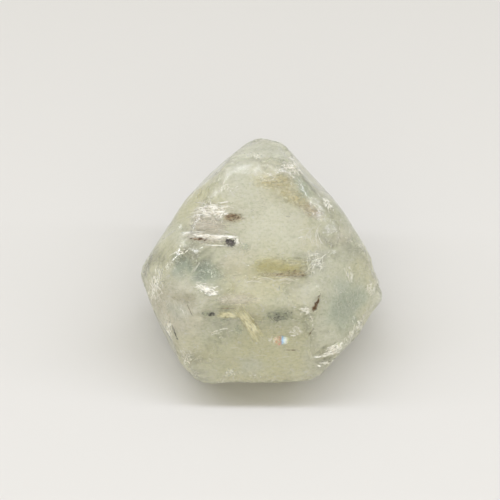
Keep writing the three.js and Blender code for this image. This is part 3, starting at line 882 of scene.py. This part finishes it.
from_core = maths(tree, "ABSOLUTE", maths(tree, "SUBTRACT", parts["X"], 0.4))
core = ranged(tree, from_core, 1, 0, 0.25, 0.5)
cover = maths(tree, "MULTIPLY", rim, maths(tree, "MAXIMUM", torn, core))
tree.links.new(cover, shader.inputs["Alpha"])
shader.inputs["Roughness"].default_value = 0.25
lay_sheets({
    "rainbow_crack": ((2.7, -13.6, 11.9), (1.6, 0, 0), (0, 0.42, 0.75), -0.012, 0, {"ragged": 0.3}),
}, rainbow)


# Iron stains: films of ochre and rust brown that have crept along a few cracks.
ochre_tones = [(0.36, (0.9, 0.85, 0.54)), (0.48, (0.94, 0.91, 0.64)), (0.62, (0.97, 0.95, 0.76))]
ochre = streaked("ochre film", ochre_tones, (1.5, 0.5), (0.28, 0.5), 0.6, edge=(0.1, 1))
rust_tones = [(0.4, (0.1, 0.05, 0.02)), (0.5, (0.2, 0.11, 0.05)), (0.62, (0.48, 0.36, 0.22))]
rust = streaked("rust film", rust_tones, (0.35, 0.15), (0.42, 0.54), 0.7, edge=(0.4, 1), most=0.95)
umber_tones = [(0.38, (0.58, 0.47, 0.28)), (0.5, (0.8, 0.7, 0.46)), (0.62, (0.95, 0.89, 0.7))]
umber = streaked("brown film", umber_tones, (0.8, 0.25), (0.34, 0.52), 0.6, edge=(0, 1))
amber_tones = [(0.4, (0.52, 0.46, 0.14)), (0.6, (0.7, 0.66, 0.32))]
amber = streaked("amber film", amber_tones, (0.9, 0.3), (0.3, 0.56), 0.6, edge=(0, 1), most=0.34)
sienna_tones = [(0.4, (0.16, 0.09, 0.04)), (0.5, (0.34, 0.22, 0.12)), (0.6, (0.6, 0.48, 0.32))]
sienna = streaked("sienna film", sienna_tones, (0.4, 0.16), (0.36, 0.54), 0.6, edge=(0, 1), most=0.8)
honey_tones = [(0.36, (0.78, 0.7, 0.38)), (0.48, (0.91, 0.86, 0.6)), (0.6, (0.975, 0.95, 0.8))]
honey = streaked("honey film", honey_tones, (0.7, 0.4), (0.32, 0.6), 0.6, edge=(0.1, 1))
lay_sheets({
    "ochre_band": ((2.8, -6.1, 19.9), (4.6, 0, 0), (0, 1.3, 0.7), 0.08, 71, {"square": 2.8, "ragged": 0.2}),
    "ochre_spot_left": ((-8.9, 4.6, 22.9), (0.9, 0.8, -0.2), (-0.4, 0.8, 0.2), 0.08, 74),
}, ochre)
lay_sheets({
    "honey_veil_top": ((2, 4.8, 25.7), (3.6, 0, 0), (0, 1.2, 0.6), 0.08, 76),
    "honey_veil_mid": ((4.5, 2.9, 24.5), (2.7, -1.1, -0.5), (0.5, 1.2, 0.5), 0.1, 77),
}, honey)
lay_sheets({
    "brown_veil_low": ((7.1, 1.2, 23.5), (2, -0.9, -0.5), (0.4, 1, 0.5), 0.12, 78),
    "brown_band_rim": ((3, -7.2, 19.3), (3.4, 0, 0), (0, 0.25, 0.13), 0.05, 72),
    "brown_end_band": ((5, -7, 19.4), (1.6, 0.1, 0), (0, 0.55, 0.3), 0.04, 79),
    "brown_end_upper": ((-4.2, 0.2, 23.1), (1.7, 0, 0), (0, 0.7, 0.36), 0.03, 81),
}, umber)
lay_sheets({
    "amber_band_left": ((1, -6.1, 20), (3.2, 0, 0), (0, 0.95, 0.5), -0.01, 82),
    "amber_band_lower": ((3.6, -6.5, 19.7), (3, 0, 0), (0, 0.8, 0.42), -0.008, 83),
    "amber_by_bar": ((-1.5, -12.2, 14.8), (0.4, -0.3, -0.5), (0.22, 0.08, 0.1), -0.01, 73),
}, amber)
lay_sheets({
    "brown_end_core": ((-4.9, 0.3, 23.2), (0.8, 0, 0), (0, 0.4, 0.22), -0.014, 80, {"ragged": 0.6}),
    "brown_streak_bar": ((-9.4, -2.6, 21.8), (1.4, -0.1, 0), (0, 0.16, 0.08), -0.014, 63, {"ragged": 0.7}),
}, sienna)
lay_sheets({
    "rust_crack_right": ((7.75, -10.25, 16.75), (0.5, 0.9, 0.68), (0.09, -0.06, 0.03), -0.012, 88,
                         {"ragged": 0.9}),
    "rust_blotch_right": ((7.4, -10.75, 16.3), (0.42, 0.2, 0.2), (-0.14, 0.26, 0.26), -0.014, 89,
                          {"ragged": 0.7}),
    "rust_line_foot": ((4.2, -14.3, 10.4), (1.1, 0, 0), (0, 0.04, 0.08), -0.01, 84),
    "rust_line_left": ((-10.6, -11.1, 15.9), (0.65, -0.6, -0.75), (0.06, 0.04, 0), -0.01, 85),
    "rust_line_flat": ((-5.2, -11.1, 16.5), (1.5, 0, 0), (0, 0.03, 0.05), -0.01, 86),
    "rust_line_upper": ((-4.6, -0.2, 22.9), (0.8, -0.3, -0.18), (0.03, 0.06, 0.04), -0.01, 87),
}, rust)

rust_patches = (
    ((7.7, -10.3, 16.7), (0.55, 1, 0.75), (0.34, -0.2, 0.1), (0.45, 0.75, 0.6), 0.9, 18, 0.42),
    ((7.35, -10.9, 16.15), (0.4, 0.15, 0.1), (0, 0.25, 0.3), (0.6, 0.6, 0.6), 1.2, 22, 0.28),
    ((7, -12.9, 13.1), (0.45, 0.35, 0.75), (0.12, -0.05, 0), (0.4, 0.3, 0.7), 0.5, 22, 0.25),
    ((-4.4, 0.2, 23.15), (1.3, 0, 0), (0, 0.5, 0.26), (1, 0.1, 0), 0.7, 10, 0.35),
    ((-9.3, -2.6, 21.8), (1.5, -0.15, 0), (0, 0.16, 0.08), (1, 0, 0), 0.4, 14, 0.35),
    ((1.8, -7.1, 19.4), (2.2, 0, 0), (0, 0.2, 0.1), (1, 0, 0), 0.5, 6, 0.32),
    ((5, -7, 19.4), (1.4, 0, 0), (0, 0.5, 0.28), (1, 0.2, 0), 0.8, 2.5, 0.35),
    ((-1.4, -12.3, 14.6), (0.5, -0.4, -0.6), (0.18, 0.06, 0.1), (0.6, -0.4, -0.6), 0.6, 12, 0.25),
    ((9.6, -15.1, 8.5), (1.3, 0.5, 0), (0, 0.1, 0.2), (1, 0.3, 0), 0.6, 7, 0.3),
)
strew("rust_grains", patch_mesh(rust_patches), rust, 0.16, bow=0.1, seed=7)


# Dark mineral: manganese black that fills the end of the bar crack and smudges two cracks below it, and
# black specks along a crack on the lower left.
black_tones = [(0.44, (0.012, 0.01, 0.012)), (0.52, (0.06, 0.05, 0.055)), (0.6, (0.36, 0.33, 0.32))]
black = streaked("black mineral", black_tones, (0.22, 0.16), (0.42, 0.5), 0.35, edge=(0.3, 1))
smudge_tones = [(0.4, (0.72, 0.77, 0.65)), (0.52, (0.86, 0.9, 0.77)), (0.64, (0.95, 0.97, 0.86))]
smudge = streaked("grey smudge", smudge_tones, (0.4, 0.25), (0.36, 0.56), 0.5, edge=(0, 1))
lay_sheets({
    "black_spot": ((-4.65, -3.2, 21.6), (0.85, -0.3, -0.15), (0.15, 0.5, 0.27), -0.012, 91,
                   {"ragged": 0.7}),
    "black_fleck_upper": ((-13.1, -11.45, 12.35), (0.08, -0.16, -0.18), (0.1, 0.06, 0), -0.012, 98),
    "black_fleck_mid": ((-12.75, -12.1, 11.6), (0.09, -0.2, -0.22), (0.11, 0.06, 0), -0.012, 99),
    "black_fleck_low": ((-12.4, -12.7, 10.9), (0.08, -0.16, -0.18), (0.1, 0.06, 0), -0.012, 94),
}, black)
lay_sheets({
    "smudge_middle": ((2.3, -11.75, 15.5), (2.1, 0, 0), (0, 0.5, 0.95), 0.08, 92),
    "smudge_left": ((-8, -11.5, 15.6), (1.1, 0, 0), (0, 0.2, 0.4), 0.03, 93),
    "smudge_under_bar": ((-5.6, -12, 14.8), (0.8, 0, 0), (0, 0.14, 0.28), 0.03, 95),
    "smudge_by_bar": ((-3.5, -12.8, 13.4), (0.8, 0, 0), (0, 0.45, 0.85), 0.08, 96),
    "smudge_right_of_spot": ((-2.6, -3.6, 21.4), (0.8, 0, 0), (0, 0.5, 0.3), 0.05, 97),
}, smudge)
speck_patches = (
    ((-12.75, -12.1, 11.55), (-0.5, 0.9, 1.05), (0.16, 0.09, 0), (-0.3, 0.6, 0.7), 0.8, 24, 0.36),
    ((-7.7, -11.5, 15.6), (1, 0, 0), (0, 0.18, 0.34), (1, 0, 0), 1, 18, 0.28),
    ((2.3, -11.75, 15.5), (2, 0, 0), (0, 0.4, 0.75), (1, 0, 0.4), 1.2, 7, 0.22),
    ((-4.7, -3.1, 21.7), (1, 0, 0), (0, 0.45, 0.24), (1, 0, 0), 1.5, 20, 0.26),
    ((-10.6, -11.1, 15.9), (0.65, -0.6, -0.75), (0.06, 0.04, 0), (1, -0.9, -1), 0.3, 20, 0.24),
    ((-9.7, -12, 13.6), (0.2, -0.2, -0.3), (0.1, 0, 0), (0, 0, 1), 1, 14, 0.16),
)
strew("dark_specks", patch_mesh(speck_patches), black, 0.2, bow=0.1, seed=9)
